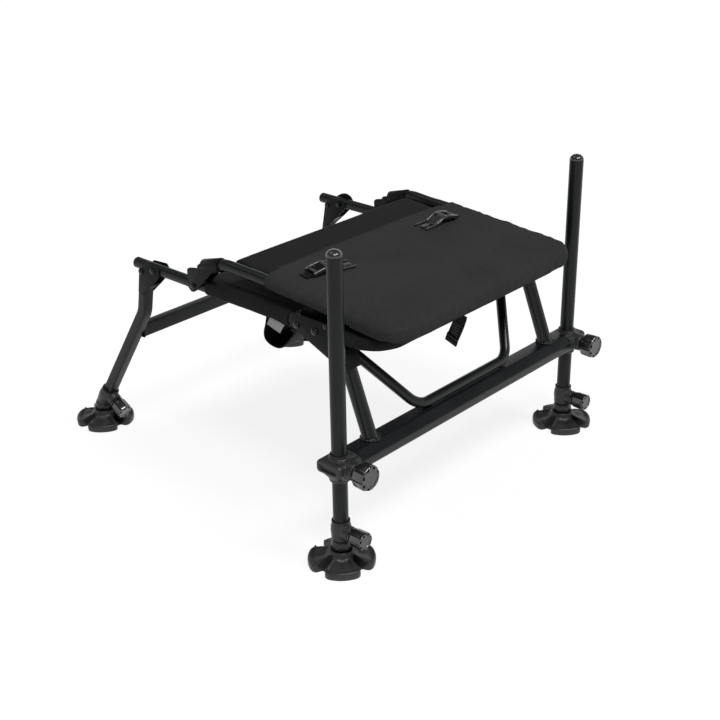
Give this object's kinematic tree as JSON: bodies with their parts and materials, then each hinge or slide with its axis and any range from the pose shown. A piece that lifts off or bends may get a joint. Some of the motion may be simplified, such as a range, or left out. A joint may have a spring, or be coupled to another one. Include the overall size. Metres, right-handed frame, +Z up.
{
  "type": "fishing chair",
  "caption": "Low fishing chair with clamp-held tube legs, swivel petal feet, a cloth sling seat and a padded backrest that folds down over it.",
  "frame": {"origin": "centre of the bounding box on the floor", "axes": "+X to the right front leg, +Y to the rear legs, +Z up"},
  "size_m": [0.7366, 0.809, 0.5374],
  "materials": {
    "satin_frame": "satin powder coat",
    "gloss_frame": "gloss powder coat",
    "moulded_plastic": "fine moulded texture",
    "bolt_steel": "dark plated",
    "woven_cloth": "plain woven polyester",
    "webbing": "ribbed webbing",
    "blank_label": "plain"
  },
  "bodies": {
    "frame": {"seat_frame": "satin_frame", "rail_plug_left": "moulded_plastic", "rail_plug_right": "moulded_plastic", "seat_sling": "woven_cloth", "front_bracket_left": "gloss_frame", "front_bracket_right": "gloss_frame", "rail_bolt_left": "bolt_steel", "rail_bolt_right": "bolt_steel", "stay_bolt_left": "bolt_steel", "stay_bolt_right": "bolt_steel", "bracket_pin_left": "bolt_steel", "bracket_pin_right": "bolt_steel", "front_strut_left": "gloss_frame", "front_strut_right": "gloss_frame", "front_crossbar": "gloss_frame", "front_stay": "gloss_frame", "leg_clamp_left": "moulded_plastic", "leg_clamp_right": "moulded_plastic", "rear_pivot_bolt_left": "bolt_steel", "rear_pivot_bolt_right": "bolt_steel", "backrest_bolt_left": "bolt_steel", "backrest_bolt_right": "bolt_steel", "strap_tail": "webbing", "webbing_loop": "webbing", "care_tag": "blank_label"},
    "backrest": {"backrest_frame": "satin_frame", "backrest_panel": "woven_cloth", "backrest_bracket_left": "satin_frame", "backrest_bracket_right": "satin_frame", "buckle_left": "moulded_plastic", "buckle_right": "moulded_plastic", "buckle_strap_left": "webbing", "buckle_strap_right": "webbing"},
    "rear_legs": {"rear_bracket_left": "satin_frame", "rear_bracket_right": "satin_frame", "rear_stop_pin_left": "bolt_steel", "rear_stop_pin_right": "bolt_steel", "rear_leg_left": "satin_frame", "rear_leg_right": "satin_frame", "rear_cross_tube": "satin_frame", "foot_collar_rear_left": "moulded_plastic", "foot_collar_rear_right": "moulded_plastic"},
    "front_leg_left": {"front_leg_left": "satin_frame", "leg_cap_left": "moulded_plastic", "foot_collar_front_left": "moulded_plastic"},
    "clamp_knob_left": {"clamp_knob_left": "moulded_plastic"},
    "foot_front_left": {"foot_base_front_left": "moulded_plastic"},
    "foot_knob_front_left": {"foot_knob_front_left": "moulded_plastic"},
    "foot_rear_left": {"foot_base_rear_left": "moulded_plastic"},
    "foot_knob_rear_left": {"foot_knob_rear_left": "moulded_plastic"},
    "front_leg_right": {"front_leg_right": "satin_frame", "leg_cap_right": "moulded_plastic", "foot_collar_front_right": "moulded_plastic"},
    "clamp_knob_right": {"clamp_knob_right": "moulded_plastic"},
    "foot_front_right": {"foot_base_front_right": "moulded_plastic"},
    "foot_knob_front_right": {"foot_knob_front_right": "moulded_plastic"},
    "foot_rear_right": {"foot_base_rear_right": "moulded_plastic"},
    "foot_knob_rear_right": {"foot_knob_rear_right": "moulded_plastic"}
  },
  "joints": [
    {"name": "backrest_fold", "type": "hinge", "parent": "frame", "child": "backrest", "pos_m": [0, 0.05671, 0.3594], "axis": [-1, 0, 0], "range_deg": [0, 96]},
    {"name": "rear_leg_fold", "type": "hinge", "parent": "frame", "child": "rear_legs", "pos_m": [0, 0.16471, 0.3594], "axis": [-1, 0, 0], "range_deg": [0, 75]},
    {"name": "front_leg_slide_left", "type": "slide", "parent": "frame", "child": "front_leg_left", "axis": [0, 0, 1], "range_m": [-0.2, 0.06]},
    {"name": "clamp_knob_turn_left", "type": "hinge", "parent": "frame", "child": "clamp_knob_left", "pos_m": [-0.314, -0.39229, 0.1804], "axis": [0, -1, 0], "range_deg": [0, 180]},
    {"name": "foot_front_tilt_left", "type": "hinge", "parent": "front_leg_left", "child": "foot_front_left", "pos_m": [-0.314, -0.33829, 0.0354], "axis": [1, 0, 0], "range_deg": [-12, 12]},
    {"name": "foot_knob_front_turn_left", "type": "hinge", "parent": "front_leg_left", "child": "foot_knob_front_left", "pos_m": [-0.314, -0.37829, 0.0604], "axis": [0, -1, 0], "range_deg": [0, 180]},
    {"name": "foot_rear_tilt_left", "type": "hinge", "parent": "rear_legs", "child": "foot_rear_left", "pos_m": [-0.259, 0.35021, 0.0354], "axis": [1, 0, 0], "range_deg": [-12, 12]},
    {"name": "foot_knob_rear_turn_left", "type": "hinge", "parent": "rear_legs", "child": "foot_knob_rear_left", "pos_m": [-0.25691, 0.29899, 0.04322], "axis": [0, -0.8591, -0.5117], "range_deg": [0, 180]},
    {"name": "front_leg_slide_right", "type": "slide", "parent": "frame", "child": "front_leg_right", "axis": [0, 0, 1], "range_m": [-0.2, 0.06]},
    {"name": "clamp_knob_turn_right", "type": "hinge", "parent": "frame", "child": "clamp_knob_right", "pos_m": [0.314, -0.39229, 0.1804], "axis": [0, -1, 0], "range_deg": [0, 180]},
    {"name": "foot_front_tilt_right", "type": "hinge", "parent": "front_leg_right", "child": "foot_front_right", "pos_m": [0.314, -0.33829, 0.0354], "axis": [1, 0, 0], "range_deg": [-12, 12]},
    {"name": "foot_knob_front_turn_right", "type": "hinge", "parent": "front_leg_right", "child": "foot_knob_front_right", "pos_m": [0.314, -0.37829, 0.0604], "axis": [0, -1, 0], "range_deg": [0, 180]},
    {"name": "foot_rear_tilt_right", "type": "hinge", "parent": "rear_legs", "child": "foot_rear_right", "pos_m": [0.259, 0.35021, 0.0354], "axis": [1, 0, 0], "range_deg": [-12, 12]},
    {"name": "foot_knob_rear_turn_right", "type": "hinge", "parent": "rear_legs", "child": "foot_knob_rear_right", "pos_m": [0.25691, 0.29899, 0.04322], "axis": [0, -0.8591, -0.5117], "range_deg": [0, 180]}
  ]
}
